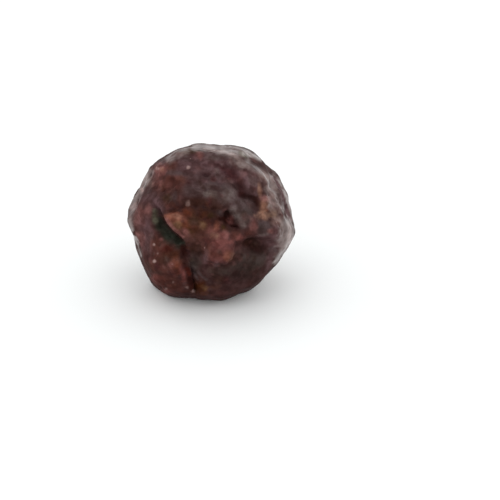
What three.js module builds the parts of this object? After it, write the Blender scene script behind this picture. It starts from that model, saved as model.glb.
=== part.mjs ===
// A rough garnet: one worn crystal about 14 mm across, resting on one of its own faces.
// Millimetres, +Z up. The origin is under the middle of the stone, on the surface that it rests on.
// The stone's best side faces -Y, and +X is to the right of someone who looks at that side.

import * as THREE from "three";
import { ImprovedNoise } from "three/addons/math/ImprovedNoise.js";
import { mergeVertices } from "three/addons/utils/BufferGeometryUtils.js";

// Driving dimensions, in millimetres and degrees
const baseReach = 6.0; // from the middle of the crystal down to the face that it rests on
const baseWear = 0.35; // how much of that face is worn flat
const bestSideElevation = 25; // the height above the horizon that the best side is seen from
const edgeSharpness = 50; // higher keeps the edges between the faces crisper
const meshSteps = 20; // each edge of the starting icosahedron is cut into one more than this
const frontCrowding = 0.3; // how much closer the vertices stand on the best side
const sideFade = 1.5; // marks fade out towards the rim of their side over this depth
const scarpWidth = 0.3; // of a ledge's steep side
const ledgeFade = 0.2; // the share of a ledge's length over which each end fades out

// Crystal faces, as they lie to someone who looks at the best side. clock runs anticlockwise
// round the view, with 0 to the right and 90 up. lean is the angle that the face turns away
// from the viewer: 0 faces the viewer, 90 is on the outline and 180 is the far side.
const faces = [
  // round the outline, the near ones turned a little towards the viewer
  { clock: 12, lean: 77, reach: 6.8 },
  { clock: 33, lean: 82, reach: 6.56 },
  { clock: 53, lean: 77, reach: 6.42 },
  { clock: 84, lean: 79, reach: 6.05 },
  { clock: 114, lean: 82, reach: 6.2 },
  { clock: 149, lean: 78, reach: 6.24 },
  { clock: 172, lean: 86, reach: 6.88 },
  { clock: 203, lean: 83, reach: 6.5 },
  { clock: 226, lean: 80, reach: 7.05 },
  { clock: 266, lean: 86, reach: 6.78 },
  { clock: 296, lean: 84, reach: 6.75 },
  { clock: 318, lean: 86, reach: 6.66 },
  { clock: 330, lean: 86, reach: 6.86 },
  { clock: 352, lean: 74, reach: 7.22 },
  // the best side
  { clock: 250, lean: 12, reach: 6.45 },
  { clock: 98, lean: 36, reach: 6.35 },
  { clock: 150, lean: 46, reach: 6.4 },
  { clock: 196, lean: 54, reach: 6.45 },
  { clock: 40, lean: 44, reach: 6.35 },
  { clock: 5, lean: 30, reach: 6.5 },
  { clock: 311, lean: 48, reach: 6.45 },
  { clock: 264, lean: 46, reach: 6.5 },
  { clock: 226, lean: 46, reach: 6.6 },
  // the far side
  { clock: 4, lean: 116, reach: 6.5 },
  { clock: 44, lean: 114, reach: 6.3 },
  { clock: 92, lean: 118, reach: 5.95 },
  { clock: 136, lean: 116, reach: 6.25 },
  { clock: 186, lean: 118, reach: 6.45 },
  { clock: 325, lean: 124, reach: 6.1 },
  { clock: 30, lean: 150, reach: 5.7 },
  { clock: 120, lean: 148, reach: 5.65 },
  { clock: 205, lean: 150, reach: 5.7 },
];

// Unevenness over the whole stone: swells, dimples and grain
const unevenness = [
  { length: 4.6, height: 0.15, shift: 3.1 },
  { length: 2.0, height: 0.13, shift: 11.7 },
  { length: 1.0, height: 0.09, shift: 27.3 },
];

// Marks are placed as they are seen from one side, in millimetres right and up from the middle.
// A boss with a negative height is a hollow. A ledge drops on the right-hand side of its path,
// and the drop runs out again over the length of its run.
const marks = [
  {
    azimuth: 0,
    elevation: bestSideElevation,
    bosses: [
      { at: [-0.9, 0.2], size: [3.1, 1.5], turn: -6, height: -0.55 }, // hollow under the upper face
      { at: [-2.8, -0.4], size: [1.3, 0.9], turn: -45, height: 0.28 }, // swelling beside the cleft
      { at: [0.3, -1.1], size: [1.0, 0.9], turn: 0, height: 0.36 }, // swelling above the round knob
      { at: [0.85, -2.8], size: [1.65, 1.5], turn: 0, height: 0.7 }, // round knob
      { at: [0.85, -2.85], size: [0.75, 0.65], turn: 0, height: -0.24 }, // dent in its top
      { at: [-1.2, -3.1], size: [0.85, 1.7], turn: 8, height: -0.62 }, // hollow on its left
      { at: [4.75, -0.9], size: [1.45, 1.25], turn: -20, height: 0.72 }, // knob on the right
      { at: [4.7, -0.9], size: [0.6, 0.5], turn: 0, height: -0.18 }, // dent in it
      { at: [4.4, 1.1], size: [0.8, 1.1], turn: 10, height: 0.35 }, // swelling above it
      { at: [3.95, -2.35], size: [1.75, 0.95], turn: -3, height: -0.95 }, // hollow under it
      { at: [-3.8, -4.1], size: [1.9, 2.6], turn: 22, height: 0.4 }, // lobe at the lower left
      { at: [-2.8, -3.6], size: [0.8, 1.5], turn: 25, height: 0.25 },
      { at: [1.7, -0.15], size: [1.25, 0.95], turn: -48, height: -1.25 }, // pit in the middle
      { at: [1.6, -0.3], size: [0.55, 0.55], turn: 0, height: 0.5 }, // bump in its floor
      { at: [4.0, 3.2], size: [1.5, 2.0], turn: 40, height: 0.3 }, // smooth face right of the step
      { at: [-0.3, 3.6], size: [0.9, 0.55], turn: -20, height: -0.32 }, // dimples of the upper face
      { at: [0.8, 2.9], size: [0.9, 0.55], turn: -35, height: -0.34 },
      { at: [-3.1, 3.0], size: [1.3, 0.9], turn: 50, height: -0.22 },
      { at: [-1.8, 4.2], size: [0.8, 0.6], turn: 10, height: 0.22 },
      { at: [-4.4, 4.1], size: [0.9, 0.75], turn: 0, height: 0.32 }, // swelling at the upper left rim
      { at: [3.7, -4.4], size: [2.6, 1.9], turn: 20, height: 0.15 }, // smooth face at the lower right
    ],
    grooves: [
      // the deep cleft
      {
        path: [[-4.65, 0.5], [-4.35, -0.25], [-3.9, -0.9], [-3.4, -1.4], [-2.85, -1.9]],
        width: 0.72, depth: 1.5,
      },
      // the crack that runs on down from it
      {
        path: [[-2.3, -2.2], [-1.95, -3.2], [-1.75, -4.25], [-1.55, -5.3], [-1.45, -6.2]],
        width: 0.65, depth: 0.7,
      },
      // round the foot of the round knob
      {
        path: [
          [-0.6, -2.0], [-0.8, -2.8], [-0.4, -3.65], [0.5, -4.1], [1.55, -3.85], [2.25, -3.1], [2.35, -2.3],
        ],
        width: 0.55, depth: 0.32,
      },
      // the step's foot
      {
        path: [[1.35, 4.3], [2.05, 3.55], [2.5, 2.7], [2.75, 2.15], [3.85, 1.7]],
        width: 0.55, depth: 0.32,
      },
      // growth lines along the right-hand rim
      {
        path: [[3.3, 4.8], [4.6, 3.8], [5.6, 2.3], [6.3, 0.9], [6.6, -0.1]],
        width: 0.55, depth: 0.3,
      },
    ],
    ledges: [
      // the lip over the cleft
      {
        path: [[-5.0, 1.5], [-4.5, 0.6], [-4.1, 0.0], [-3.2, -1.05], [-2.3, -2.0], [-1.9, -2.5]],
        depth: 0.8, run: 1.9,
      },
      // the lower edge of the upper face
      {
        path: [[-4.2, 0.7], [-2.7, 1.0], [-1.5, 1.2], [-0.5, 1.2], [0.4, 1.0], [1.1, 0.65], [1.8, 0.3]],
        depth: 0.8, run: 1.9,
      },
      // the step across the upper face
      {
        path: [[0.9, 4.7], [1.65, 3.75], [2.4, 2.85], [2.75, 2.1], [3.9, 1.6], [4.5, 0.7]],
        depth: 0.5, run: 1.5,
      },
      // the right-hand wall of the pit
      { path: [[1.1, 1.6], [1.8, 0.85], [2.2, 0.2], [2.6, -0.5], [3.0, -1.2]], depth: 0.6, run: 1.1 },
      // under the knob on the right
      { path: [[2.5, -1.7], [3.7, -1.6], [4.7, -1.85], [6.1, -1.75]], depth: 0.5, run: 1.4 },
      // the upper edge of the lobe at the lower left
      { path: [[-2.5, -2.1], [-3.3, -2.2], [-4.5, -2.8]], depth: 0.2, run: 0.9 },
    ],
  },
  // the back
  {
    azimuth: 180,
    elevation: 10,
    bosses: [
      { at: [-1.6, 1.4], size: [2.4, 1.6], turn: 30, height: -0.45 },
      { at: [2.4, -1.2], size: [1.8, 1.5], turn: 0, height: 0.5 },
      { at: [0.6, 3.8], size: [1.7, 1.0], turn: -20, height: 0.32 },
      { at: [-3.4, -2.6], size: [1.4, 1.1], turn: 40, height: -0.35 },
      { at: [0.2, -3.1], size: [1.2, 0.9], turn: 15, height: 0.34 },
    ],
    grooves: [
      { path: [[-4.4, 2.9], [-2.7, 1.3], [-1.0, 0.5], [0.4, -1.1]], width: 0.75, depth: 0.6 },
    ],
    ledges: [
      { path: [[-1.0, 3.4], [0.8, 2.4], [2.2, 2.3], [4.3, 2.8]], depth: 0.55, run: 1.8 },
      { path: [[-4.6, -1.0], [-3.0, -1.6], [-1.2, -3.2], [-0.6, -4.6]], depth: 0.45, run: 1.6 },
    ],
  },
  // the left-hand side
  {
    azimuth: 270,
    elevation: 5,
    bosses: [
      { at: [0.9, 1.2], size: [1.9, 1.4], turn: -30, height: -0.4 },
      { at: [-1.9, -1.4], size: [1.5, 1.2], turn: 10, height: 0.42 },
      { at: [-0.4, 3.4], size: [1.1, 0.8], turn: 0, height: 0.3 },
      { at: [2.3, -2.5], size: [1.1, 1.3], turn: 0, height: -0.35 },
    ],
    grooves: [
      { path: [[-2.9, 2.6], [-1.5, 0.9], [-0.4, -0.8], [0.6, -2.9]], width: 0.6, depth: 0.4 },
    ],
    ledges: [
      { path: [[-1.6, 2.6], [0.3, 2.5], [2.2, 1.9], [3.3, 0.7]], depth: 0.45, run: 1.5 },
    ],
  },
  // the right-hand side
  {
    azimuth: 90,
    elevation: 12,
    bosses: [
      { at: [0.8, -1.2], size: [1.8, 1.3], turn: 25, height: -0.42 },
      { at: [-1.4, 1.6], size: [1.5, 1.1], turn: -15, height: 0.3 },
      { at: [2.0, 2.0], size: [1.2, 1.0], turn: 0, height: 0.36 },
    ],
    grooves: [],
    ledges: [
      { path: [[-3.4, 3.6], [-1.8, 3.0], [0.4, 3.3], [2.4, 2.6]], depth: 0.4, run: 1.5 },
      { path: [[-2.6, 0.2], [-0.8, 0.6], [1.3, 0.2], [3.6, 0.9]], depth: 0.4, run: 1.4 },
      { path: [[-2.2, -3.4], [-0.3, -2.7], [1.9, -3.2]], depth: 0.3, run: 1.1 },
    ],
  },
  // the top, with the best side at the foot of the view
  {
    azimuth: 0,
    elevation: 90,
    bosses: [
      { at: [-0.8, 1.4], size: [1.8, 1.3], turn: 20, height: -0.35 },
      { at: [1.9, 0.4], size: [1.4, 1.0], turn: -30, height: 0.34 },
      { at: [-2.6, -0.4], size: [1.2, 0.9], turn: 40, height: 0.26 },
    ],
    grooves: [],
    ledges: [
      { path: [[-2.8, 2.4], [-0.9, 2.9], [1.2, 2.5], [3.0, 2.9]], depth: 0.4, run: 1.4 },
    ],
  },
];

const direction = (azimuth, elevation) => {
  const turn = THREE.MathUtils.degToRad(azimuth);
  const rise = THREE.MathUtils.degToRad(elevation);
  return new THREE.Vector3(
    Math.sin(turn) * Math.cos(rise),
    -Math.cos(turn) * Math.cos(rise),
    Math.sin(rise),
  );
};

// The axes of a view of the stone: towards the viewer, to the right and up
function sideOf(azimuth, elevation) {
  const toward = direction(azimuth, elevation);
  const right = direction(azimuth + 90, 0);
  const up = new THREE.Vector3().crossVectors(toward, right);
  return { toward, right, up };
}

// A face's outward normal, from its clock and lean on the best side
function faceNormal({ clock, lean }) {
  const { toward, right, up } = sideOf(0, bestSideElevation);
  const round = THREE.MathUtils.degToRad(clock);
  const away = THREE.MathUtils.degToRad(lean);
  return new THREE.Vector3()
    .addScaledVector(right, Math.cos(round) * Math.sin(away))
    .addScaledVector(up, Math.sin(round) * Math.sin(away))
    .addScaledVector(toward, Math.cos(away));
}

const facePlanes = [
  ...faces.map((face) => ({ normal: faceNormal(face), reach: face.reach })),
  { normal: new THREE.Vector3(0, 0, -1), reach: baseReach + baseWear },
];

// Distance from the middle to the worn crystal's skin: the nearest face, with softened edges
function crystalReach(way) {
  let sum = 0;
  for (const { normal, reach } of facePlanes) {
    const share = way.dot(normal) / reach;
    if (share > 0) sum += share ** edgeSharpness;
  }
  return sum ** (-1 / edgeSharpness);
}

const markedSides = marks.map((mark) => ({ ...mark, side: sideOf(mark.azimuth, mark.elevation) }));

const noise = new ImprovedNoise();

function unevenHeight({ x, y, z }) {
  let height = 0;
  for (const { length, height: tall, shift } of unevenness)
    height += tall * noise.noise(x / length + shift, y / length - shift, z / length + shift);
  return height;
}

const dome = (t) => (t < 1 ? (1 - t * t) ** 2 : 0);

function bossHeight(right, up, { at, size, turn, height }) {
  const angle = THREE.MathUtils.degToRad(turn);
  const x = right - at[0];
  const y = up - at[1];
  const along = x * Math.cos(angle) + y * Math.sin(angle);
  const across = y * Math.cos(angle) - x * Math.sin(angle);
  return height * dome(Math.hypot(along / size[0], across / size[1]));
}

// The nearest point of a line of points, all as seen from one side: how far off it is, how far
// along the line from 0 to 1, and whether the line passes on its left
function nearestOnPath(right, up, path) {
  let found = { distance: Infinity };
  let walked = 0;
  for (let i = 1; i < path.length; i++) {
    const [fromX, fromY] = path[i - 1];
    const runX = path[i][0] - fromX;
    const runY = path[i][1] - fromY;
    const length = Math.hypot(runX, runY);
    const share = ((right - fromX) * runX + (up - fromY) * runY) / length ** 2;
    const t = THREE.MathUtils.clamp(share, 0, 1);
    const offX = right - fromX - t * runX;
    const offY = up - fromY - t * runY;
    const distance = Math.hypot(offX, offY);
    if (distance < found.distance)
      found = { distance, along: walked + t * length, onRight: runX * offY < runY * offX };
    walked += length;
  }
  return { ...found, along: found.along / walked };
}

const grooveHeight = (right, up, { path, width, depth }) =>
  -depth * dome(nearestOnPath(right, up, path).distance / width);

function ledgeHeight(right, up, { path, depth, run }) {
  const { distance, along, onRight } = nearestOnPath(right, up, path);
  if (!onRight || distance > run) return 0;
  const { smoothstep } = THREE.MathUtils;
  const scarp = smoothstep(distance, 0, scarpWidth);
  const ends = smoothstep(along, 0, ledgeFade) * smoothstep(1 - along, 0, ledgeFade);
  return -depth * scarp * ends * (1 - distance / run) ** 2;
}

// The height that all the marks add at a point of the worn crystal
function markHeight(point) {
  let height = 0;
  for (const { side, bosses, grooves, ledges } of markedSides) {
    const shown = THREE.MathUtils.smoothstep(point.dot(side.toward), 0, sideFade);
    if (shown === 0) continue;
    const right = point.dot(side.right);
    const up = point.dot(side.up);
    for (const boss of bosses) height += shown * bossHeight(right, up, boss);
    for (const groove of grooves) height += shown * grooveHeight(right, up, groove);
    for (const ledge of ledges) height += shown * ledgeHeight(right, up, ledge);
  }
  return height;
}

// A ball of even triangles, crowded a little towards the best side, with shared vertices
function startingBall() {
  const soup = new THREE.IcosahedronGeometry(1, meshSteps);
  soup.deleteAttribute("normal");
  soup.deleteAttribute("uv");
  const ball = mergeVertices(soup);
  const crowd = direction(0, bestSideElevation).multiplyScalar(frontCrowding);
  const points = ball.getAttribute("position");
  const way = new THREE.Vector3();
  for (let i = 0; i < points.count; i++) {
    way.fromBufferAttribute(points, i).add(crowd).normalize();
    points.setXYZ(i, way.x, way.y, way.z);
  }
  return ball;
}

function garnetGeometry() {
  const stone = startingBall();
  const points = stone.getAttribute("position");
  const way = new THREE.Vector3();
  for (let i = 0; i < points.count; i++) {
    way.fromBufferAttribute(points, i);
    const reach = crystalReach(way);
    const worn = way.clone().multiplyScalar(reach);
    const { x, y, z } = way.multiplyScalar(reach + unevenHeight(worn) + markHeight(worn));
    points.setXYZ(i, x, y, Math.max(z, -baseReach)); // the base stays flat
  }
  stone.computeBoundingBox();
  const { min, max } = stone.boundingBox;
  stone.translate(-(min.x + max.x) / 2, -(min.y + max.y) / 2, -min.z);
  stone.computeVertexNormals();
  return stone;
}

const garnetSkin = new THREE.MeshStandardMaterial({
  color: 0x4a2f30,
  roughness: 0.5,
  metalness: 0,
});

const garnet = new THREE.Mesh(garnetGeometry(), garnetSkin);
garnet.name = "garnet";

const part = new THREE.Group();
part.add(garnet);

export default part;
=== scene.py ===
import math

import bmesh
import bpy
import numpy as np
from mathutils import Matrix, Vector, noise
from mathutils.bvhtree import BVHTree


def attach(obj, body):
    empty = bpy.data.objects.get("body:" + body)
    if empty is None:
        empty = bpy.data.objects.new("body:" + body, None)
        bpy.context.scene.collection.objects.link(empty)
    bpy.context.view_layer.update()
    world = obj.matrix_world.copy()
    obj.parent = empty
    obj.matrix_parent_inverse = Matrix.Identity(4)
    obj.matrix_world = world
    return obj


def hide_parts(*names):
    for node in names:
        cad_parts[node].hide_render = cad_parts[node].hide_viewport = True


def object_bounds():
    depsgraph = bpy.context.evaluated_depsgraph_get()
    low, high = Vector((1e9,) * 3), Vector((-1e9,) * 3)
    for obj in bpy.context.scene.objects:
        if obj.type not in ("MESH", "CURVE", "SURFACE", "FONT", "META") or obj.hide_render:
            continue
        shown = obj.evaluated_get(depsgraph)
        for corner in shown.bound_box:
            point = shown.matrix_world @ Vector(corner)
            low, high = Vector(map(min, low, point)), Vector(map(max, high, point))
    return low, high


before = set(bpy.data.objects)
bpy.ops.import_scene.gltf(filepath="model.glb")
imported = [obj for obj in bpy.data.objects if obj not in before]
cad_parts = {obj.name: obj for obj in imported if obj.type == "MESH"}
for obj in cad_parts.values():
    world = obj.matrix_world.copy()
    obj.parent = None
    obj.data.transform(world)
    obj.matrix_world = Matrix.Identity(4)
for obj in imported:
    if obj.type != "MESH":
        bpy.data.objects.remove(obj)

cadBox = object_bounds()
mm = 0.001

# How the stone is seen in the picture. Marks and stains are placed in this view too,
# in millimetres to the right and up from the point that the camera is aimed by.
view = {
    "elevation": 25,  # degrees above the horizon
    "distance": 200,  # mm from the stone
    "aimedBy": (0.0, 0.0, 6.0),  # mm, a point in the middle of the stone
    "aimPixel": (211.5, 221),  # where that point falls in the picture
    "pictureSide": 500,  # pixels
    "pixelsPerMm": 12,
    "sensor": 36,
    "clip": (0.01, 10),  # metres
}


def viewAxes():
    # towards the viewer, to the right and up
    rise = math.radians(view["elevation"])
    toward = np.array((0.0, -math.cos(rise), math.sin(rise)))
    right = np.array((1.0, 0.0, 0.0))
    return toward, right, np.cross(toward, right)


def seenAs(points):
    # points as the camera sees them: mm right and up of the aim, and the depth towards it
    toward, right, up = viewAxes()
    off = points - np.array(view["aimedBy"])
    depth = off @ toward
    near = 1 - depth / view["distance"]
    half = view["pictureSide"] / 2
    middle = np.array((half - view["aimPixel"][0], view["aimPixel"][1] - half))
    middle /= view["pixelsPerMm"]
    return middle + (np.stack((off @ right, off @ up), 1) - middle) / near[:, None], depth


def placed(name, data):
    # a new object in the scene
    made = bpy.data.objects.new(name, data)
    bpy.context.scene.collection.objects.link(made)
    return made


def makeCamera():
    toward, right, up = (Vector(axis) for axis in viewAxes())
    distance = view["distance"] * mm
    half = view["pictureSide"] / 2
    perPixel = mm / view["pixelsPerMm"]
    camera = bpy.data.cameras.new("camera")
    camera.sensor_width = view["sensor"]
    camera.lens = view["sensor"] * distance / (view["pictureSide"] * perPixel)
    camera.clip_start, camera.clip_end = view["clip"]
    holder = placed("camera", camera)
    aim = Vector(view["aimedBy"]) * mm + right * (half - view["aimPixel"][0]) * perPixel
    aim -= up * (half - view["aimPixel"][1]) * perPixel
    holder.location = aim + toward * distance
    holder.rotation_euler = (-toward).to_track_quat("-Z", "Y").to_euler()
    bpy.context.scene.camera = holder
    print("camera set")


def smoothstep(value, low, high):
    t = np.clip((value - low) / (high - low), 0, 1)
    return t * t * (3 - 2 * t)


def tapered(along, end):
    # 0 at both ends of a path, 1 past that share of it
    return smoothstep(along, 0, end) * smoothstep(1 - along, 0, end)


def dome(t):
    # 1 in the middle, 0 from 1 on
    return np.where(t < 1, (1 - np.minimum(t, 1) ** 2) ** 2, 0)


layers = {"fade": 1.0, "step": 2.1, "count": 3}  # of all noise: each finer than the last


def noiseAt(points, length, shift, count=layers["count"]):
    # smooth noise of about -1 to 1, at points in mm
    fade, step = layers["fade"], layers["step"]
    places = points / length + shift
    return np.array([noise.fractal(Vector(at), fade, step, count) for at in places])


def localShape(seen, at, size, turn):
    # distance from a spot's middle, 1 at its edge
    angle = math.radians(turn)
    x, y = seen[:, 0] - at[0], seen[:, 1] - at[1]
    along = (x * math.cos(angle) + y * math.sin(angle)) / size[0]
    across = (y * math.cos(angle) - x * math.sin(angle)) / size[1]
    return np.hypot(along, across)


def fromPath(seen, path):
    # for each point: how far the path is, how far along it that is, from 0 to 1,
    # and whether the point lies on the path's right
    nearest = np.full(len(seen), np.inf)
    along = np.zeros(len(seen))
    onRight = np.zeros(len(seen), bool)
    walked = 0
    for start, end in zip(np.array(path[:-1]), np.array(path[1:])):
        run = end - start
        length = np.hypot(*run)
        off = seen - start
        share = np.clip(off @ run / length**2, 0, 1)
        off = off - share[:, None] * run
        distance = np.hypot(off[:, 0], off[:, 1])
        closer = distance < nearest
        nearest = np.where(closer, distance, nearest)
        along = np.where(closer, walked + share * length, along)
        onRight = np.where(closer, run[0] * off[:, 1] < run[1] * off[:, 0], onRight)
        walked += length
    return nearest, along / walked, onRight


def readVectors(mesh, kind):
    vectors = np.empty(len(mesh.vertices) * 3)
    mesh.vertices.foreach_get(kind, vectors)
    return vectors.reshape(-1, 3)


def readPoints(mesh):
    return readVectors(mesh, "co") / mm


def writePoints(mesh, points):
    mesh.vertices.foreach_set("co", (points * mm).ravel())
    mesh.update()


def addAttribute(mesh, name, kind, values):
    layer = mesh.attributes.new(name, kind, "POINT")
    field = "color" if kind == "FLOAT_COLOR" else "value"
    layer.data.foreach_set(field, values.astype(np.float32).ravel())


garnet = {
    "weld": 0.001,  # mm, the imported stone's corners within this of each other are joined
    "ballSubdivisions": 5,  # of the ball that is pressed onto the stone
    "ballCuts": 5,  # further cuts of each of its edges
    "crowding": 0.3,  # how much finer the best side is than the back
    "restRounds": 12,  # of smoothing, to take the facets out
    "restFactor": 0.5,
    "seed": 7,
}


def pressedBall():
    # a fine ball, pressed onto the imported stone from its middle
    cad = bmesh.new()
    cad.from_mesh(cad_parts["garnet"].data)
    bmesh.ops.remove_doubles(cad, verts=cad.verts, dist=garnet["weld"] * mm)
    hull = BVHTree.FromBMesh(cad)
    middle = Vector(view["aimedBy"]) * mm
    crowd = Vector(viewAxes()[0]) * garnet["crowding"]
    ball = bmesh.new()
    bmesh.ops.create_icosphere(ball, subdivisions=garnet["ballSubdivisions"], radius=1)
    bmesh.ops.subdivide_edges(ball, edges=ball.edges, cuts=garnet["ballCuts"], use_grid_fill=True)
    for vert in ball.verts:
        way = (vert.co.normalized() + crowd).normalized()
        hit = hull.ray_cast(middle, way)[0]
        vert.co = hit if hit is not None else vert.co
    for _ in range(garnet["restRounds"]):
        bmesh.ops.smooth_vert(
            ball, verts=ball.verts, factor=garnet["restFactor"],
            use_axis_x=True, use_axis_y=True, use_axis_z=True,
        )
    mesh = bpy.data.meshes.new("roughGarnet")
    ball.to_mesh(mesh)
    ball.free()
    cad.free()
    return mesh


# Relief that goes all over the stone, in mm
skin = {
    "swell": {"length": 1.5, "height": 0.045, "shift": 3.7},
    "grain": {"length": 0.6, "height": 0.02, "shift": 9.1},
    "fine": {"length": 0.22, "height": 0.005, "shift": 21.4},
    "chips": 80,
    "chipSize": (0.5, 1.3),
    "chipDepth": (0.015, 0.04),
    "chipLean": 0.1,
    "chipCore": 0.5,  # the share of its size over which a chip cuts fully
    "pits": 800,
    "pitSize": (0.1, 0.28),
    "pitDepth": (0.015, 0.05),
    "pitBreak": 0.4,  # how far noise moves a pit's edge, as a share of its size
    "warp": {"length": 0.7, "height": 0.1, "shift": 41.0},  # makes the marks' edges uneven
    "baseFade": 0.5,  # mm above the floor over which the relief fades out
    "baseHeight": 0.001,  # mm, all lower than this is the flat base
}

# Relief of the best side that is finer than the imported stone's, in mm as seen
bestSide = {
    # right, up, half width, half height, turn, height
    "bumps": [
        (-3.1, 0.35, 0.8, 0.4, -15, 0.14),
        (-2.7, -0.3, 0.5, 0.4, 0, 0.1),
        (-2.1, -1.0, 0.4, 0.3, -40, 0.08),
        (-1.1, -0.6, 0.6, 0.5, 0, 0.06),
        (0.4, -0.4, 0.3, 0.45, -20, 0.12),
        (0.5, -1.3, 0.32, 0.3, 0, 0.1),
        (1.15, -1.2, 0.4, 0.34, 0, 0.12),
        (1.5, -2.8, 0.4, 0.7, 0, 0.1),
        (-0.3, -2.3, 0.4, 0.6, 0, 0.08),
        (4.95, -0.85, 0.32, 0.28, 0, 0.1),
        (3.5, -0.4, 0.4, 0.6, 0, 0.12),
        (4.2, 0.3, 0.55, 0.32, 0, 0.12),
        (4.25, 1.2, 0.4, 0.6, 0, 0.12),
        (5.2, 0.6, 0.4, 0.4, 0, 0.1),
        (-2.9, -3.4, 0.55, 1.1, 20, 0.14),
        (-3.4, -3.6, 0.35, 0.35, 0, 0.06),
        (-4.6, -4.8, 0.5, 0.5, 0, 0.08),
        (-4.25, 4.4, 0.5, 0.45, 0, 0.12),
        (-3.3, 4.8, 0.5, 0.35, 30, 0.06),
        (-5.35, 0.7, 0.5, 0.5, 0, 0.1),
        (2.75, 4.7, 0.5, 0.36, 0, 0.1),
        (0.7, 3.3, 0.42, 0.36, 0, 0.08),
        (-0.6, 3.4, 0.4, 0.28, 0, 0.07),
        (0.45, 4.15, 0.25, 0.36, 0, 0.06),
        (-0.1, 2.35, 0.45, 0.3, 0, 0.07),
        (1.5, 2.3, 0.8, 0.5, 0, 0.05),
        (1.6, 0.1, 0.28, 0.42, 0, 0.1),
        (-0.5, 3.85, 0.5, 0.22, -15, -0.08),
        (0.1, 3.55, 0.28, 0.3, 0, -0.09),
        (1.5, 3.7, 0.6, 0.35, -30, -0.08),
        (0.5, 4.65, 0.4, 0.25, -30, -0.07),
        (-0.9, 3.1, 0.2, 0.32, 20, -0.06),
        (0.4, 2.65, 0.45, 0.2, 0, -0.05),
        (-0.6, 4.65, 0.4, 0.18, 0, -0.05),
        (-2.8, 2.5, 0.4, 0.25, 0, -0.05),
        (3.2, 2.85, 0.5, 0.3, 0, -0.05),
        (1.3, 0.6, 0.3, 0.36, 0, -0.16),
        (1.95, -0.4, 0.5, 0.22, -10, -0.16),
        (0.75, -2.75, 0.5, 0.4, 0, -0.14),
        (0.1, -1.95, 0.4, 0.3, 20, 0.1),
        (0.95, -1.75, 0.45, 0.3, 0, 0.12),
        (1.65, -2.1, 0.35, 0.35, 0, 0.1),
        (1.1, -3.45, 0.4, 0.3, 0, 0.1),
        (0.35, -3.55, 0.32, 0.3, 0, 0.12),
        (-0.25, -3.2, 0.3, 0.35, 0, 0.08),
        (4.4, -0.6, 0.7, 0.6, 0, 0.14),
        (4.4, -0.75, 0.25, 0.2, 0, -0.08),
    ],
    # width, depth, path
    "cracks": [
        (0.6, -0.5, [(-2.1, -2.9), (-1.9, -4.0), (-1.75, -5.0), (-1.7, -6.0)]),
        (0.16, 0.1,
         [(-2.4, -2.3), (-2.2, -3.2), (-2.0, -4.0), (-1.8, -4.5), (-1.7, -5.2), (-1.6, -6.0)]),
        (0.4, 0.08,
         [(1.1, 4.35), (1.75, 3.9), (2.3, 3.4), (2.45, 2.7), (2.5, 2.3), (3.2, 2.05), (3.8, 1.7)]),
        (0.14, 0.06, [(-1.6, -3.9), (-1.3, -4.5), (-1.0, -5.1)]),
        (0.2, 0.05, [(-1.8, 2.9), (-0.4, 2.6), (0.9, 1.9)]),
        (0.3, 0.05, [(3.9, 4.4), (4.9, 3.4), (5.5, 2.2), (5.9, 0.9)]),
        (0.2, 0.08, [(5.2, 3.7), (5.8, 2.6), (6.1, 1.4), (6.4, 0.5)]),
    ],
    "crackEnd": 0.15,  # the share of a crack's length over which its ends rise
    "crackLeast": 0.3,  # the share of its depth that is left at its very ends
    # depth, run, path
    "scarps": [
        (0.25, 0.5, [(-4.4, 0.4), (-4.1, -0.1), (-3.6, -0.6), (-3.1, -1.2), (-2.3, -2.1)]),
        (0.14, 0.4, [(1.6, 1.1), (2.1, 0.4), (2.8, -0.6)]),
        (0.06, 0.5, [(2.9, 4.6), (3.7, 3.8), (4.3, 2.8), (4.4, 1.9)]),
        (0.1, 0.5, [(-6.2, -1.6), (-5.2, -2.4), (-4.4, -2.5), (-3.3, -2.1)]),
        (0.1, 1.0, [(-1.5, -6.0), (-1.75, -5.0), (-2.0, -4.0), (-2.3, -2.8), (-2.4, -2.1)]),
    ],
    "scarpWidth": 0.3,
    "scarpEnd": 0.2,
    "rimFade": 1.2,  # mm of depth over which these marks fade in
}


def bestSideRelief(seen):
    height = np.zeros(len(seen))
    least = bestSide["crackLeast"]
    for right, up, wide, high, turn, tall in bestSide["bumps"]:
        height += tall * dome(localShape(seen, (right, up), (wide, high), turn))
    for width, depth, path in bestSide["cracks"]:
        distance, along, _ = fromPath(seen, path)
        ends = tapered(along, bestSide["crackEnd"])
        height -= depth * dome(distance / width) * (least + (1 - least) * ends)
    for depth, run, path in bestSide["scarps"]:
        distance, along, onRight = fromPath(seen, path)
        ends = tapered(along, bestSide["scarpEnd"])
        drop = smoothstep(distance, 0, bestSide["scarpWidth"])
        drop *= np.clip(1 - distance / run, 0, 1) ** 2
        height -= np.where(onRight, depth * drop * ends, 0)
    return height


def chip(points, normals, dice):
    # small breaks: each cuts the skin back to a slightly tilted plane
    for _ in range(skin["chips"]):
        spot = dice.integers(len(points))
        size = dice.uniform(*skin["chipSize"])
        depth = dice.uniform(*skin["chipDepth"])
        lean = normals[spot] + dice.normal(0, skin["chipLean"], 3)
        lean /= np.linalg.norm(lean)
        reach = np.linalg.norm(points - points[spot], axis=1)
        above = np.clip((points - points[spot]) @ lean + depth, 0, 2 * depth)
        cut = above * smoothstep(-reach, -size, -skin["chipCore"] * size)
        points -= cut[:, None] * lean
    return points


def pit(points, wobble, dice):
    height = np.zeros(len(points))
    for _ in range(skin["pits"]):
        spot = dice.integers(len(points))
        size = dice.uniform(*skin["pitSize"])
        reach = np.linalg.norm(points - points[spot], axis=1) / size
        height -= dice.uniform(*skin["pitDepth"]) * dome(reach + skin["pitBreak"] * wobble)
    return height


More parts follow.
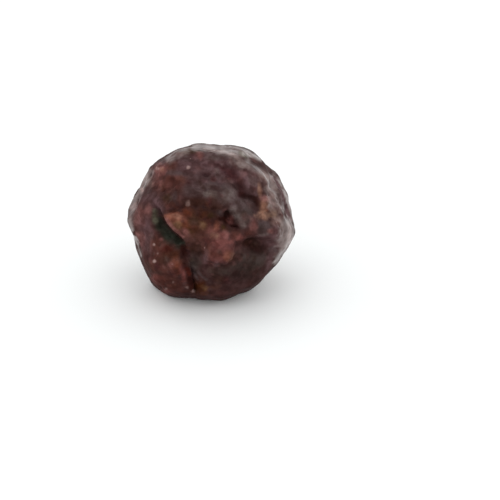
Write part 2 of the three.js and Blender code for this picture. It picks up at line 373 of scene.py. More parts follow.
def carve(mesh):
    dice = np.random.default_rng(garnet["seed"])
    points, normals = readPoints(mesh), readVectors(mesh, "normal")
    warp = skin["warp"]
    wobble, wobble2 = (noiseAt(points, warp["length"], way * warp["shift"]) for way in (1, -1))
    seen, depth = seenAs(points)
    seen += np.stack((wobble, wobble2), 1) * warp["height"]
    height = bestSideRelief(seen) * smoothstep(depth, 0, bestSide["rimFade"])
    for name in ("swell", "grain", "fine"):
        layer = skin[name]
        height += layer["height"] * noiseAt(points, layer["length"], layer["shift"])
    height += pit(points, wobble, dice)
    aboveFloor = smoothstep(points[:, 2], 0, skin["baseFade"])
    carved = chip(points + normals * (height * aboveFloor)[:, None], normals, dice)
    carved[:, 2] = np.where(points[:, 2] < skin["baseHeight"], 0, np.maximum(carved[:, 2], 0))
    low, high = (np.array(corner) / mm for corner in cadBox)
    writePoints(mesh, np.clip(carved, low, high))
    return dice


# The stone's colours as they look in even light, from 0 to 255. Some are laid as painted shade,
# painted sheen and painted highlights, as said where they are used
tints = {
    "plum": (64, 45, 44),
    "slate": (78, 65, 65),
    "stone": (101, 89, 86),
    "ash": (56, 47, 44),
    "night": (44, 33, 31),
    "mauve": (88, 66, 68),
    "wine": (63, 37, 38),
    # the dark red below is laid mostly as painted shade, in the pit, the hollows and under the
    # overhangs
    "ember": (46, 23, 20),
    "blood": (80, 33, 25),
    "umber": (58, 38, 32),
    "rust": (84, 53, 46),
    "russet": (75, 45, 40),
    "rose": (112, 68, 65),
    "copper": (92, 49, 35),
    "brown": (68, 38, 21),
    "olive": (62, 45, 28),
    "ochre": (104, 77, 57),
    "orange": (128, 80, 66),
    "tan": (148, 111, 93),
    # the next is laid small on the tops of bumps as a painted highlight
    "peach": (162, 121, 104),
    "blush": (128, 86, 83),
    "film": (50, 53, 46),
    "verdigris": (98, 97, 82),
    # the next two are pale painted sheen, laid along the rims for their low-angle reflection
    "paintedDimSheen": (128, 104, 98),
    "paintedSheen": (148, 132, 127),
    # the next is the pale specks and dust, and also painted sheen along the rims
    "pale": (185, 156, 150),
}

# Stains of the best side, in mm as seen, each one over those before it. Beside the stone's own
# colours they hold painted shade, painted sheen and painted highlights, as marked below
stains = {
    # tint, right, up, half width, half height, turn, amount
    "patches": [
        # the upper face: its grey slate, mauve and stone patches are partly painted sheen, the
        # reflection of the light above, and most of its dark wine, umber and plum spots are
        # painted shade in its dents
        ("mauve", -1.5, 4.7, 2.6, 1.2, 0, 0.7),
        ("slate", 1.0, 2.8, 2.4, 1.3, -15, 0.8),
        ("mauve", 1.0, 4.4, 1.8, 0.9, -15, 0.6),
        ("mauve", 3.1, 3.5, 1.1, 0.9, -30, 0.9),
        ("stone", 3.5, 3.4, 0.6, 0.4, -45, 0.35),
        ("slate", 0.8, 5.35, 1.1, 0.3, -5, 0.7),
        ("stone", 0.1, 5.25, 0.6, 0.25, 0, 0.4),
        ("olive", -1.9, 5.8, 0.9, 0.22, 4, 0.7),
        ("slate", -2.1, 5.2, 0.5, 0.22, 0, 0.5),
        ("rust", -3.4, 4.6, 0.6, 0.5, 40, 0.7),
        ("russet", -3.5, 3.1, 1.4, 0.85, 0, 0.9),
        ("slate", -2.9, 4.0, 1.0, 0.22, -5, 0.6),
        ("rust", -2.6, 3.4, 0.5, 0.35, 0, 0.5),
        ("russet", -3.6, 3.5, 0.25, 0.2, 0, 0.7),
        ("russet", -3.7, 2.7, 0.4, 0.25, 0, 0.6),
        ("wine", -1.9, 3.15, 0.28, 0.3, 0, 0.5),
        ("umber", -2.75, 2.5, 0.4, 0.25, 0, 0.5),
        ("stone", -0.1, 2.25, 0.65, 0.3, 0, 0.9),
        ("stone", 1.4, 2.3, 0.7, 0.45, 0, 0.55),
        ("stone", 1.3, 1.75, 0.5, 0.4, 0, 0.5),
        ("slate", -1.8, 2.6, 0.6, 0.5, 0, 0.6),
        ("mauve", 0.7, 3.3, 0.35, 0.3, 0, 0.7),
        ("mauve", -0.6, 3.4, 0.4, 0.26, 0, 0.7),
        ("stone", 0.45, 4.15, 0.2, 0.3, 0, 0.4),
        ("wine", -0.5, 3.87, 0.5, 0.2, -10, 0.55),
        ("wine", 0.1, 3.55, 0.25, 0.3, 0, 0.6),
        ("wine", -0.55, 4.65, 0.35, 0.15, 0, 0.45),
        ("umber", -0.92, 3.15, 0.2, 0.28, 20, 0.5),
        ("wine", 1.6, 3.8, 0.65, 0.35, -30, 0.75),
        ("slate", 1.5, 4.6, 0.4, 0.25, 0, 0.5),
        ("wine", 0.5, 4.65, 0.45, 0.2, -20, 0.5),
        ("plum", 0.4, 2.75, 0.6, 0.2, -15, 0.7),
        ("plum", 1.7, 2.95, 0.5, 0.2, -30, 0.6),
        ("plum", 0.65, 2.2, 0.25, 0.22, 0, 0.5),
        ("blush", -0.98, 5.48, 0.28, 0.34, 0, 0.8),
        # its left side, down to the cleft
        ("blush", -4.25, 4.35, 0.48, 0.5, 0, 0.95),
        ("peach", -4.15, 4.3, 0.18, 0.2, 0, 0.5),
        ("plum", -3.75, 5.25, 0.16, 0.16, 0, 0.7),
        ("blush", -4.5, 3.6, 0.5, 0.8, 10, 0.45),
        # a pale painted sheen near the left rim
        ("paintedDimSheen", -5.25, 3.4, 0.35, 0.6, 20, 0.4),
        ("mauve", -5.3, 2.0, 0.7, 0.6, 0, 0.6),
        ("slate", -3.05, 2.05, 0.2, 0.5, 0, 0.6),
        ("olive", -3.7, 1.9, 0.4, 0.35, 0, 0.6),
        ("rust", -3.5, 1.4, 0.4, 0.3, 0, 0.6),
        ("mauve", -4.5, 1.4, 0.5, 0.4, 0, 0.6),
        ("mauve", -4.3, 0.85, 0.35, 0.3, 0, 0.6),
        # under the upper face: the long dark umber and ember band is painted shade under its
        # overhanging edge, over the hollow's own brown
        ("umber", -1.1, 1.55, 1.7, 0.4, 0, 0.85),
        ("umber", 0.5, 1.15, 0.7, 0.35, -15, 0.7),
        ("ember", -2.7, 1.1, 0.5, 0.25, 0, 0.6),
        ("wine", -0.15, 1.6, 0.18, 0.45, 0, 0.6),
        ("copper", -0.4, 1.4, 0.2, 0.2, 0, 0.2),
        # between the cleft and the pit, and below the pit
        ("rust", -1.4, -0.5, 2.2, 1.4, -20, 0.85),
        ("orange", -3.05, 0.3, 0.85, 0.45, -15, 0.95),
        ("peach", -2.9, 0.35, 0.4, 0.2, -10, 0.5),
        ("ember", -3.4, 0.85, 0.45, 0.14, 0, 0.5),
        ("copper", -2.0, 0.7, 0.5, 0.35, 0, 0.8),
        ("umber", -1.5, 0.8, 0.3, 0.3, 0, 0.6),
        ("umber", -1.2, 0.6, 0.35, 0.3, 0, 0.6),
        ("brown", -0.6, 0.6, 0.5, 0.4, 0, 0.7),
        ("olive", 0.0, 0.45, 0.35, 0.25, 0, 0.8),
        ("ochre", -2.8, -0.3, 0.45, 0.35, 0, 0.85),
        ("copper", -2.2, -0.3, 0.35, 0.35, 0, 0.6),
        ("olive", -1.4, -0.05, 0.5, 0.45, 0, 1.0),
        ("night", -1.4, -0.1, 0.4, 0.35, 0, 0.25),
        ("brown", -1.5, -0.75, 0.45, 0.35, 0, 1.0),
        ("olive", -1.85, -0.95, 0.25, 0.25, 0, 0.6),
        ("blush", -2.1, -0.95, 0.4, 0.2, -40, 0.6),
        ("umber", -1.3, -1.0, 0.5, 0.5, 0, 0.7),
        ("ochre", -0.7, -0.35, 0.3, 0.35, 0, 0.8),
        ("rose", 0.0, -0.9, 0.4, 0.6, 0, 0.35),
        ("wine", -0.5, -1.75, 0.35, 0.3, 0, 0.6),
        ("orange", 0.4, -0.4, 0.25, 0.4, -20, 0.6),
        ("olive", 1.0, -0.5, 0.2, 0.35, 0, 0.8),
        ("ochre", 0.15, -1.2, 0.3, 0.28, 0, 0.4),
        ("tan", 0.5, -1.3, 0.22, 0.24, 0, 0.5),
        ("blush", 1.15, -1.2, 0.45, 0.36, 0, 0.9),
        ("umber", 1.5, -0.75, 0.3, 0.2, 0, 0.6),
        ("russet", 2.0, -1.2, 0.5, 0.4, 0, 0.8),
        ("rose", 2.4, -1.4, 0.35, 0.3, 0, 0.7),
        # the pit and the smooth face on its right; the ember in the pit is painted shade on its
        # walls
        ("slate", 2.6, 1.1, 1.1, 1.0, -20, 0.85),
        ("ash", 2.9, 0.7, 0.6, 0.5, 0, 0.6),
        ("slate", 0.7, 0.7, 0.3, 0.25, 0, 0.6),
        ("ember", 1.3, 0.55, 0.3, 0.42, 0, 0.7),
        ("ember", 0.85, 0.2, 0.4, 0.16, 10, 0.8),
        ("ember", 1.15, -0.1, 0.2, 0.35, 0, 0.8),
        ("ember", 1.9, -0.42, 0.55, 0.2, -5, 0.9),
        ("rose", 1.6, 0.1, 0.28, 0.4, 0, 0.7),
        # the knobs and round them
        ("rose", 0.75, -2.5, 1.35, 1.25, 0, 0.65),
        ("rose", 1.1, -1.75, 0.9, 0.2, 0, 0.6),
        ("mauve", -0.5, -2.9, 0.22, 0.7, 0, 0.8),
        ("rust", -0.25, -2.4, 0.35, 0.6, 0, 0.6),
        ("russet", 0.55, -2.75, 0.55, 0.42, 0, 0.9),
        ("orange", 1.5, -2.95, 0.4, 0.45, 0, 0.75),
        ("peach", 1.65, -2.9, 0.25, 0.3, 0, 0.3),
        ("orange", 1.3, -3.15, 0.35, 0.25, 0, 0.6),
        ("mauve", 0.4, -3.6, 0.25, 0.25, 0, 0.7),
        ("wine", 0.9, -3.6, 0.28, 0.18, 0, 0.6),
        ("wine", 2.2, -2.9, 0.16, 0.35, 0, 0.6),
        ("umber", -1.2, -2.3, 0.85, 0.55, 0, 0.95),
        ("wine", -2.0, -2.7, 0.25, 0.35, 0, 0.5),
        ("ash", -1.4, -3.5, 0.6, 0.8, 0, 0.9),
        ("russet", 3.05, -1.0, 0.4, 0.3, 0, 0.7),
        ("rust", 5.4, -0.4, 0.4, 0.7, 0, 0.6),
        ("slate", 4.4, -0.42, 0.85, 0.75, 0, 1.0),
        ("ash", 4.2, -0.6, 0.35, 0.4, 0, 0.6),
        ("blush", 3.5, -0.4, 0.34, 0.6, 0, 0.7),
        ("blush", 4.95, -0.85, 0.26, 0.22, 0, 0.6),
        ("stone", 4.4, -1.12, 0.4, 0.12, 10, 0.35),
        ("mauve", 5.4, -0.9, 0.3, 0.6, 0, 0.8),
        ("mauve", 5.1, -1.4, 0.5, 0.3, 0, 0.9),
        # the hollow under the right-hand knob: its ember and umber are painted shade under the
        # knob
        ("ember", 2.9, -1.85, 0.45, 0.3, 0, 0.8),
        ("umber", 3.5, -1.9, 0.8, 0.5, 0, 0.7),
        ("ember", 3.6, -2.45, 0.45, 0.3, 0, 0.7),
        ("mauve", 4.9, -1.85, 0.7, 0.35, 0, 0.6),
        ("mauve", 5.6, -1.9, 0.4, 0.5, 0, 0.35),
        ("slate", 5.2, -2.5, 0.5, 0.4, 0, 0.8),
        # right of the step, and the foot of the smooth face
        ("tan", 4.0, 2.6, 0.18, 0.6, 5, 0.5),
        ("ash", 2.9, 0.0, 0.4, 0.4, 0, 0.6),
        ("tan", 4.4, 1.25, 0.42, 0.62, 0, 0.65),
        ("blush", 4.5, 1.85, 0.5, 0.3, 0, 0.6),
        ("tan", 4.35, 0.45, 0.55, 0.35, 0, 0.7),
        ("copper", 4.65, 0.95, 0.2, 0.2, 0, 0.5),
        ("ochre", 5.2, 0.6, 0.32, 0.4, 0, 0.8),
        # a pale painted sheen near the right rim
        ("paintedDimSheen", 5.25, 0.0, 0.35, 0.3, 0, 0.5),
        ("peach", 4.25, 1.3, 0.18, 0.3, 0, 0.4),
        # the lower right and the middle of the bottom, darker: partly the stone's own dark grey,
        # partly painted shade of the faces that look down
        ("ash", 2.7, -3.4, 1.3, 1.0, 0, 0.9),
        ("night", 2.2, -4.7, 1.6, 0.9, 10, 0.85),
        ("ash", 4.0, -3.2, 1.0, 0.7, 10, 0.9),
        ("slate", 3.9, -3.1, 0.6, 0.35, 10, 0.2),
        ("mauve", 4.8, -3.3, 0.28, 0.8, -15, 0.6),
        ("plum", 2.2, -5.4, 1.8, 0.6, 0, 0.8),
        ("wine", 1.2, -4.9, 0.4, 0.35, 0, 0.7),
        ("ash", 0.9, -4.1, 0.8, 0.5, 0, 0.7),
        ("verdigris", -0.1, -4.1, 0.3, 0.3, 0, 0.08),
        ("umber", 0.6, -4.9, 0.5, 0.4, 0, 0.6),
        ("wine", 0.9, -6.0, 0.5, 0.25, 0, 0.5),
        # the left
        ("russet", -4.5, -3.3, 1.6, 2.6, 15, 0.9),
        ("blush", -6.0, 0.3, 0.5, 1.1, 0, 0.5),
        ("mauve", -5.5, -0.9, 0.6, 1.2, 0, 0.8),
        ("blush", -5.8, -1.6, 0.3, 0.5, 0, 0.35),
        ("blush", -5.2, 0.85, 0.4, 0.45, 0, 0.7),
        ("blush", -6.1, -1.2, 0.3, 0.3, 0, 0.5),
        ("mauve", -5.3, -2.4, 0.4, 0.7, 0, 0.5),
        ("wine", -5.2, -3.1, 0.4, 0.3, 0, 0.5),
        ("umber", -5.05, -3.4, 0.45, 0.8, 15, 0.5),
        ("wine", -5.2, -3.1, 0.3, 0.3, 0, 0.4),
        ("rust", -4.6, -1.9, 0.5, 0.5, 0, 0.7),
        ("blush", -4.2, -1.5, 0.2, 0.15, 0, 0.6),
        ("wine", -4.5, -3.75, 0.3, 0.35, 0, 0.85),
        ("ash", -4.3, -4.35, 0.35, 0.25, 0, 0.6),
        ("rose", -4.65, -4.8, 0.32, 0.4, 0, 0.8),
        ("blood", -4.25, -4.95, 0.4, 0.4, 0, 0.35),
        # the lobe
        ("russet", -3.4, -4.6, 1.2, 1.0, 20, 0.6),
        ("brown", -3.25, -2.8, 0.75, 0.6, 0, 0.6),
        ("blood", -3.8, -2.3, 0.6, 0.3, 0, 0.6),
        ("orange", -2.95, -3.55, 0.5, 0.45, 0, 0.6),
        ("umber", -3.9, -3.3, 0.5, 0.6, 0, 0.8),
        ("ember", -3.85, -2.45, 0.5, 0.3, 0, 0.4),
        ("blush", -3.4, -3.65, 0.3, 0.25, 0, 0.5),
        ("copper", -2.6, -3.9, 0.45, 0.5, 0, 0.85),
        ("rose", -2.4, -4.3, 0.24, 0.7, 10, 0.9),
        ("wine", -3.3, -4.35, 0.4, 0.3, 0, 0.4),
        # the bottom, under the crack and the lobe
        ("brown", -1.1, -5.5, 0.75, 0.6, 0, 1.0),
        ("ochre", -0.6, -5.55, 0.28, 0.22, 0, 0.6),
        ("russet", -2.9, -5.6, 1.0, 0.4, 0, 0.7),
        ("rose", -3.8, -5.9, 0.6, 0.25, 0, 0.5),
        ("brown", 0.2, -5.5, 0.4, 0.3, 0, 0.3),
    ],
    # tint, width, amount, path. The pale bands along the rims are painted sheen: the pale
    # reflection that the rims show at a low angle
    "rims": [
        ("paintedSheen", 0.22, 0.5, [(-3.1, 5.9), (-2.2, 6.2), (-1.2, 6.35)]),
        ("paintedSheen", 0.42, 0.7, [(-1.4, 6.3), (0.0, 6.15), (1.4, 5.85), (2.4, 5.55)]),
        ("pale", 0.14, 0.47, [(-0.6, 6.0), (0.8, 5.8), (1.8, 5.55)]),
        ("paintedDimSheen", 0.55, 0.52, [(2.1, 5.25), (3.0, 4.8), (3.8, 4.35), (4.3, 4.0)]),
        ("paintedSheen", 0.2, 0.7, [(0.8, 6.25), (2.2, 6.1), (3.0, 5.8), (3.4, 5.4)]),
        ("paintedSheen", 0.35, 0.76, [(2.5, 4.7), (2.9, 4.75)]),
        ("verdigris", 0.2, 0.5, [(2.4, 5.7), (2.9, 5.4)]),
        ("paintedSheen", 0.22, 0.9, [(2.7, 5.6), (3.5, 5.4), (4.0, 5.1)]),
        ("paintedDimSheen", 0.75, 0.75, [(4.8, 3.8), (5.4, 2.9), (5.9, 2.1), (6.2, 1.4)]),
        ("paintedDimSheen", 0.55, 0.65, [(4.7, 3.7), (4.95, 3.0), (5.1, 2.2), (5.3, 1.4)]),
        ("plum", 0.26, 0.85, [(3.45, 4.95), (4.15, 4.6), (4.85, 4.1)]),
        ("paintedDimSheen", 0.35, 0.7, [(5.0, 1.2), (5.25, 0.7), (5.5, 0.2)]),
        ("paintedSheen", 0.16, 0.66, [(5.5, 3.6), (6.1, 2.4), (6.5, 1.3), (6.75, 0.4)]),
        ("mauve", 0.14, 0.85, [(5.25, 3.6), (5.75, 2.6), (6.1, 1.5), (6.3, 0.8), (6.65, 0.0)]),
        ("slate", 0.2, 0.6, [(5.6, 2.2), (5.85, 1.4)]),
        ("plum", 0.16, 0.5, [(4.4, 3.3), (4.55, 3.1)]),
        ("paintedSheen", 0.62, 0.8, [(6.2, -0.2), (6.3, -0.5), (6.3, -1.2), (6.1, -1.8)]),
        ("pale", 0.24, 0.38, [(6.4, -0.3), (6.6, -1.0), (6.5, -1.7)]),
        ("paintedSheen", 0.25, 0.65, [(6.15, -2.2), (5.75, -2.8), (5.35, -3.4)]),
        ("paintedDimSheen", 0.36, 0.5, [(-6.75, 0.3), (-6.65, 1.1), (-6.3, 1.9), (-5.8, 2.8), (-5.4, 3.7)]),
        ("paintedSheen", 0.2, 0.5, [(-6.4, 1.9), (-5.9, 2.8), (-5.5, 3.6)]),
        ("pale", 0.2, 0.47, [(-6.6, 1.1), (-6.4, 1.3)]),
        ("pale", 0.16, 0.47, [(-5.85, 2.5), (-5.75, 2.7)]),
        ("paintedDimSheen", 0.45, 0.55, [(-3.4, 5.25), (-2.8, 5.6), (-2.3, 5.85)]),
        ("paintedSheen", 0.3, 0.55, [(-5.8, 3.0), (-5.3, 3.8), (-5.1, 4.1)]),
        ("paintedSheen", 0.2, 0.76, [(-6.8, 0.1), (-6.65, -0.7)]),
        ("paintedSheen", 0.2, 0.9, [(-6.4, -1.4), (-6.2, -2.1), (-6.0, -2.9)]),
    ],
    "veins": [
        # the dark diagonal: painted shade in the groove and on the step that runs down across the
        # upper right
        ("wine", 0.38, 0.75, [(1.1, 4.35), (1.75, 3.9), (2.3, 3.4), (2.45, 2.8), (2.5, 2.3)]),
        ("ember", 0.26, 0.75, [(2.45, 2.25), (3.1, 2.08), (3.65, 1.9), (3.85, 1.4)]),
        ("mauve", 0.14, 0.6, [(3.0, 2.35), (3.7, 2.2)]),
        # under the right-hand knob
        ("mauve", 0.22, 0.4, [(3.9, -1.45), (4.6, -1.55)]),
        # the cleft, its lip and the crack
        ("film", 0.22, 0.85,
         [(-4.3, 0.2), (-4.0, -0.4), (-3.4, -0.95), (-2.9, -1.45), (-2.4, -1.85)]),
        ("film", 0.42, 0.95, [(-4.3, -0.4), (-3.9, -1.0), (-3.4, -1.45), (-2.8, -1.9)]),
        ("mauve", 0.35, 1.0, [(-4.55, 1.5), (-4.45, 1.1), (-4.45, 0.75)]),
        ("verdigris", 0.24, 0.75, [(-4.75, 0.8), (-4.72, 0.4), (-4.65, 0.0)]),
        ("film", 0.16, 0.8, [(-2.7, -1.9), (-2.4, -2.2)]),
        # a painted highlight along the cleft's lip
        ("blush", 0.16, 0.55, [(-3.75, 0.1), (-3.05, -0.75), (-2.4, -1.3)]),
        ("ember", 0.3, 0.95,
         [(-2.4, -2.3), (-2.2, -3.2), (-2.05, -3.9), (-1.8, -4.5), (-1.65, -5.6)]),
        ("blood", 0.18, 0.6, [(-2.05, -4.0), (-1.85, -4.4)]),
        # light lines beside the pit and at the bottom: painted highlights along a ledge's edge and
        # small ridges
        ("stone", 0.3, 0.55, [(1.75, 1.0), (2.1, 0.45), (2.6, -0.3)]),
        ("slate", 0.1, 0.8, [(-1.55, -4.0), (-1.35, -4.5), (-1.15, -4.9)]),
        ("slate", 0.12, 0.8, [(-1.1, -4.2), (-0.8, -4.6), (-0.4, -4.9)]),
    ],
    # right, up, size, amount
    "specks": [
        (-1.92, 4.45, 0.18, 0.4), (-2.0, 1.5, 0.26, 0.3), (-4.5, 4.38, 0.18, 0.5),
        (-4.76, -1.95, 0.14, 0.4), (-4.78, -3.35, 0.17, 0.45), (-4.5, -2.7, 0.12, 0.15),
        (-3.78, -5.65, 0.16, 0.35), (-3.2, -5.1, 0.12, 0.2), (-2.1, -5.55, 0.15, 0.25),
        (-1.5, -5.85, 0.18, 0.35), (-5.8, 2.6, 0.18, 0.5),
    ],
    "speckTint": "pale",
    "baseTint": "plum",
    "tintScale": 0.82,  # from the tints above to the surface's own colours
    "gamma": 2.2,
    "frontFade": (-1.6, -0.4),  # mm of depth over which the best side's stains fade in
    "edgeNoise": (0.45, 63.0, 4),  # length in mm, shift, layers
    "edgeBreak": 0.45,  # how far it moves a stain's edge, as a share of its size
    # how far a stain is full, and where it ends, as shares of its size
    "markEdge": (0.2, 1.6),
    "randomEdge": (0.3, 1.3),
    "speckEdge": (0.4, 1.1),
    # random stains: on the sides that the picture doesn't show, small soft ones all over,
    # and pale specks all over
    "far": {
        "count": 110, "size": (0.4, 1.7), "amount": (0.3, 0.8),
        "tints": [
            "rust", "russet", "mauve", "slate", "umber", "brown",
            "olive", "copper", "blush", "wine", "ash",
        ],
    },
    "flecks": {
        "count": 900, "size": (0.1, 0.42), "amount": (0.04, 0.2),
        "tints": [
            "russet", "rust", "mauve", "slate", "umber", "wine",
            "stone", "olive", "rose", "ash", "blush",
        ],
    },
    "dust": {"count": 14, "size": (0.05, 0.09), "amount": (0.3, 0.7), "tints": ["pale"]},
}

# Painted sheen along the rims: a pale colour that stands in for their low-angle reflection, where
# the shader's sheen is also raised
paintedRimSheen = {
    "tints": ("paintedSheen", "paintedDimSheen", "pale"),
    "paint": 0.5,  # strength of its painted sheen colour, next to the shader's sheen
    "fade": (-2.6, 0.1),  # mm of depth over which it fades in
    "noise": (1.2, 17.0),  # length in mm, shift
    "even": 0.95,  # its usual strength
    "uneven": 0.5,  # how far noise thins and thickens it
    "most": 1.15,
}


def bare(tint):
    # a colour as it looks in even light to the linear colour of the surface
    return (np.array(tints[tint]) / 255) ** stains["gamma"] * stains["tintScale"]


def stain(mesh, dice):
    points = readPoints(mesh)
    seen, depth = seenAs(points)
    broken = noiseAt(points, *stains["edgeNoise"]) * stains["edgeBreak"]
    front = smoothstep(depth, *stains["frontFade"])
    colour = np.tile(bare(stains["baseTint"]), (len(points), 1))

    def within(reach, edge):
        # 1 inside a stain, 0 outside it, and an uneven edge between
        return smoothstep(-reach - broken, -edge[1], -edge[0])

    def lay(tint, amount):
        share = amount[:, None]
        colour[:] = colour * (1 - share) + bare(tint) * share

    def scatter(kind, share):
        for _ in range(kind["count"]):
            spot = points[dice.integers(len(points))]
            reach = np.linalg.norm(points - spot, axis=1) / dice.uniform(*kind["size"])
            tint = kind["tints"][dice.integers(len(kind["tints"]))]
            lay(tint, share * dice.uniform(*kind["amount"]) * within(reach, stains["randomEdge"]))

    scatter(stains["far"], 1 - front)
    for tint, right, up, wide, high, turn, amount in stains["patches"]:
        reach = localShape(seen, (right, up), (wide, high), turn)
        lay(tint, front * amount * within(reach, stains["markEdge"]))
    rimSheenMask = np.zeros(len(points))
    patchy = noiseAt(points, *paintedRimSheen["noise"])
    # how patchy the painted sheen is, faded in towards the rims
    mottleAndSheenPatches = smoothstep(depth + patchy, *paintedRimSheen["fade"])
    mottleAndSheenPatches *= np.clip(paintedRimSheen["even"] + patchy * paintedRimSheen["uneven"], 0, paintedRimSheen["most"])
    for tint, width, amount, path in stains["rims"] + stains["veins"]:
        share = amount * within(fromPath(seen, path)[0] / width, stains["markEdge"])
        # the pale rim bands lay painted sheen and mark where the shader's sheen rises
        if tint in paintedRimSheen["tints"]:
            share *= mottleAndSheenPatches
            rimSheenMask = np.maximum(rimSheenMask, share)
            lay(tint, np.clip(share * paintedRimSheen["paint"], 0, 1))
        else:
            lay(tint, front * share)
            rimSheenMask *= 1 - front * share
    scatter(stains["flecks"], 1)
    for right, up, size, amount in stains["specks"]:
        reach = np.hypot(seen[:, 0] - right, seen[:, 1] - up) / size
        lay(stains["speckTint"], front * amount * within(reach, stains["speckEdge"]))
    scatter(stains["dust"], 1)
    addAttribute(mesh, "rimSheenMask", "FLOAT", np.clip(rimSheenMask, 0, 1))
    addAttribute(mesh, "tint", "FLOAT_COLOR", np.column_stack((colour, np.ones(len(points)))))


# The skin's finish: what varies over it is given from low to high
finish = {
    # noise: scale per metre, detail, roughness
    "grain": (5200, 4, 0.55),
    "mottle": (1500, 3, 0.45),
    "bump": (9000, 3, 0.6),
    "grainRange": (0.3, 0.7),
    "grainTone": (0.9, 1.1),
    "mottleRange": (0.35, 0.65),
    "mottleLow": (0.76, 0.68, 0.66),
    "mottleHigh": (1.24, 1.27, 1.28),
    "bumpDistance": 0.01,  # mm
    "hollowRounds": 60,  # of smoothing, for the skin that the hollows are measured from
    "hollowRange": (0.0, 0.1),  # mm sunk
    # painted shade: the colour darkened to 0.7 where the skin lies 0.1 mm sunk in hollows
    "hollowPaintedShade": (1, 0.7),
    "polishRange": (0.3, 0.7),  # of the mottle
    "roughness": (0.48, 0.7),
    "ior": 1.08,
    "sheen": (0, 0.46),  # from bare skin to full bloom
    "sheenRoughness": 0.58,
}


def relaxed(values, links, rounds):
    # each point's value moved half way to its neighbours' mean, again and again
    count = np.bincount(links.ravel(), minlength=len(values))
    for _ in range(rounds):
        for axis in range(values.shape[1]):
            column = values[:, axis]
            total = np.bincount(links[:, 0], column[links[:, 1]], len(values))
            total += np.bincount(links[:, 1], column[links[:, 0]], len(values))
            values[:, axis] = (column + total / count) / 2
    return values


def markHollows(mesh):
    # how far each point lies under the smoothed skin round it, in mm, less than 0 where over it;
    # the finish paints shade in the hollows by it
    links = np.empty(len(mesh.edges) * 2, int)
    mesh.edges.foreach_get("vertices", links)
    points, normals = readPoints(mesh), readVectors(mesh, "normal")
    smooth = relaxed(points.copy(), links.reshape(-1, 2), finish["hollowRounds"])
    sunk = ((smooth - points) * normals).sum(1)
    addAttribute(mesh, "sunk", "FLOAT", sunk)
    print("hollows from", sunk.min().round(3), "to", sunk.max().round(3), "mm")


def garnetFinish():
    material = bpy.data.materials.new("garnetSkin")
    material.use_nodes = True
    nodes, links = material.node_tree.nodes, material.node_tree.links
    shader = nodes["Principled BSDF"]

    def node(kind, **settings):
        made = nodes.new(kind)
        for name, value in settings.items():
            setattr(made, name, value)
        return made

    def marked(name):
        return node("ShaderNodeAttribute", attribute_name=name).outputs

    def noiseNode(layer):
        made = node("ShaderNodeTexNoise")
        links.new(place.outputs["Object"], made.inputs["Vector"])
        for name, number in zip(("Scale", "Detail", "Roughness"), layer):
            made.inputs[name].default_value = number
        return made.outputs["Fac"]

    def ranged(value, source, target):
        made = node("ShaderNodeMapRange", interpolation_type="SMOOTHSTEP")
        links.new(value, made.inputs["Value"])
        limits = ("From Min", "From Max", "To Min", "To Max")
        for name, number in zip(limits, (*source, *target)):
            made.inputs[name].default_value = number
        return made.outputs["Result"]

    def joined(kind, operation, left, right):
        made = node(kind, operation=operation)
        links.new(left, made.inputs[0])
        links.new(right, made.inputs["Scale" if operation == "SCALE" else 1])
        return made.outputs[0]

    place = node("ShaderNodeTexCoord")
    mottle = noiseNode(finish["mottle"])
    grain = ranged(noiseNode(finish["grain"]), finish["grainRange"], finish["grainTone"])
    # painted shade: the colour darkened in the hollows
    hollow = ranged(marked("sunk")["Fac"], finish["hollowRange"], finish["hollowPaintedShade"])
    mottleAndSheenPatches = node("ShaderNodeMix", data_type="RGBA")
    links.new(ranged(mottle, finish["mottleRange"], (0, 1)), mottleAndSheenPatches.inputs["Factor"])
    mottleAndSheenPatches.inputs["A"].default_value = (*finish["mottleLow"], 1)
    mottleAndSheenPatches.inputs["B"].default_value = (*finish["mottleHigh"], 1)
    tint = marked("tint")["Color"]
    mottled = joined("ShaderNodeVectorMath", "MULTIPLY", tint, mottleAndSheenPatches.outputs["Result"])
    tone = joined("ShaderNodeMath", "MULTIPLY", grain, hollow)
    shaded = joined("ShaderNodeVectorMath", "SCALE", mottled, tone)
    links.new(shaded, shader.inputs["Base Color"])
    polish = ranged(mottle, finish["polishRange"], finish["roughness"])
    links.new(polish, shader.inputs["Roughness"])
    shader.inputs["IOR"].default_value = finish["ior"]
    sheen = ranged(marked("rimSheenMask")["Fac"], (0, 1), finish["sheen"])
    links.new(sheen, shader.inputs["Sheen Weight"])
    shader.inputs["Sheen Roughness"].default_value = finish["sheenRoughness"]
    bump = node("ShaderNodeBump")
    bump.inputs["Distance"].default_value = finish["bumpDistance"] * mm
    links.new(noiseNode(finish["bump"]), bump.inputs["Height"])
    links.new(bump.outputs["Normal"], shader.inputs["Normal"])
    return material


def makeGarnet():
    mesh = pressedBall()
    for polygon in mesh.polygons:
        polygon.use_smooth = True
    stone = placed("roughGarnet", mesh)
    print("garnet pressed:", len(mesh.polygons), "triangles")
    dice = carve(mesh)
    print("garnet carved")
    stain(mesh, dice)
    print("garnet stained")
    markHollows(mesh)
    mesh.materials.append(garnetFinish())
    print("garnet finished")
    return stone


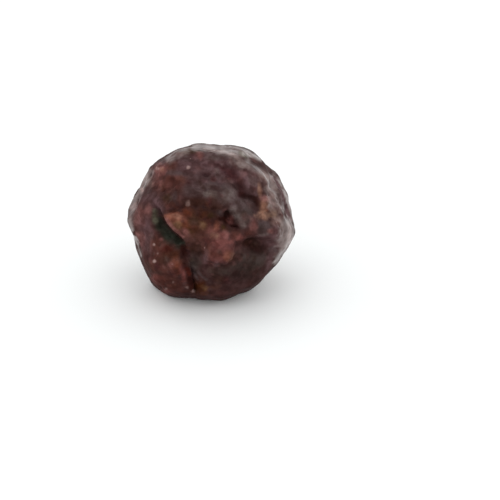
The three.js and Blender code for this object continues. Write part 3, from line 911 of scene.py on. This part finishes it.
ground = {
    "radius": 1.2,  # metres
    "segments": 96,
    "drop": 0.01,  # mm under the stone
    "colour": (0.88, 0.9, 0.9),
    "roughness": 0.8,
    "specular": 0.1,
}


def makeFloor():
    shape = bmesh.new()
    bmesh.ops.create_circle(
        shape, cap_ends=True, segments=ground["segments"], radius=ground["radius"]
    )
    bmesh.ops.translate(shape, verts=shape.verts, vec=(0, 0, -ground["drop"] * mm))
    mesh = bpy.data.meshes.new("floor")
    shape.to_mesh(mesh)
    shape.free()
    floor = placed("floor", mesh)
    paper = bpy.data.materials.new("paleFloor")
    paper.use_nodes = True
    shader = paper.node_tree.nodes["Principled BSDF"]
    shader.inputs["Base Color"].default_value = (*ground["colour"], 1)
    shader.inputs["Roughness"].default_value = ground["roughness"]
    shader.inputs["Specular IOR Level"].default_value = ground["specular"]
    mesh.materials.append(paper)
    print("floor laid")


studio = {
    "horizon": 2.05,  # brightness of the walls all round
    "zenith": 0.7,  # and of the ceiling
    "white": (1, 1, 1),
    "lampSize": 0.3,
    "lampEnergy": 0.1,
    "lampAt": (0, 0.02, 0.3),
}


def makeLight():
    world = bpy.data.worlds.new("studio")
    world.use_nodes = True
    nodes, links = world.node_tree.nodes, world.node_tree.links
    sky = nodes["Background"]
    sky.inputs["Color"].default_value = (*studio["white"], 1)
    way = nodes.new("ShaderNodeTexCoord")
    split = nodes.new("ShaderNodeSeparateXYZ")
    ramp = nodes.new("ShaderNodeMapRange")
    ramp.inputs["To Min"].default_value = studio["horizon"]
    ramp.inputs["To Max"].default_value = studio["zenith"]
    links.new(way.outputs["Generated"], split.inputs[0])
    links.new(split.outputs["Z"], ramp.inputs["Value"])
    links.new(ramp.outputs["Result"], sky.inputs["Strength"])
    bpy.context.scene.world = world
    lamp = bpy.data.lights.new("overhead", "AREA")
    lamp.size = studio["lampSize"]
    lamp.energy = studio["lampEnergy"]
    holder = placed("overhead", lamp)
    holder.location = studio["lampAt"]
    bpy.context.scene.view_settings.view_transform = "Standard"
    print("light set")


makeCamera()
stone = makeGarnet()
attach(stone, "root")
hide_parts("garnet")
makeFloor()
makeLight()
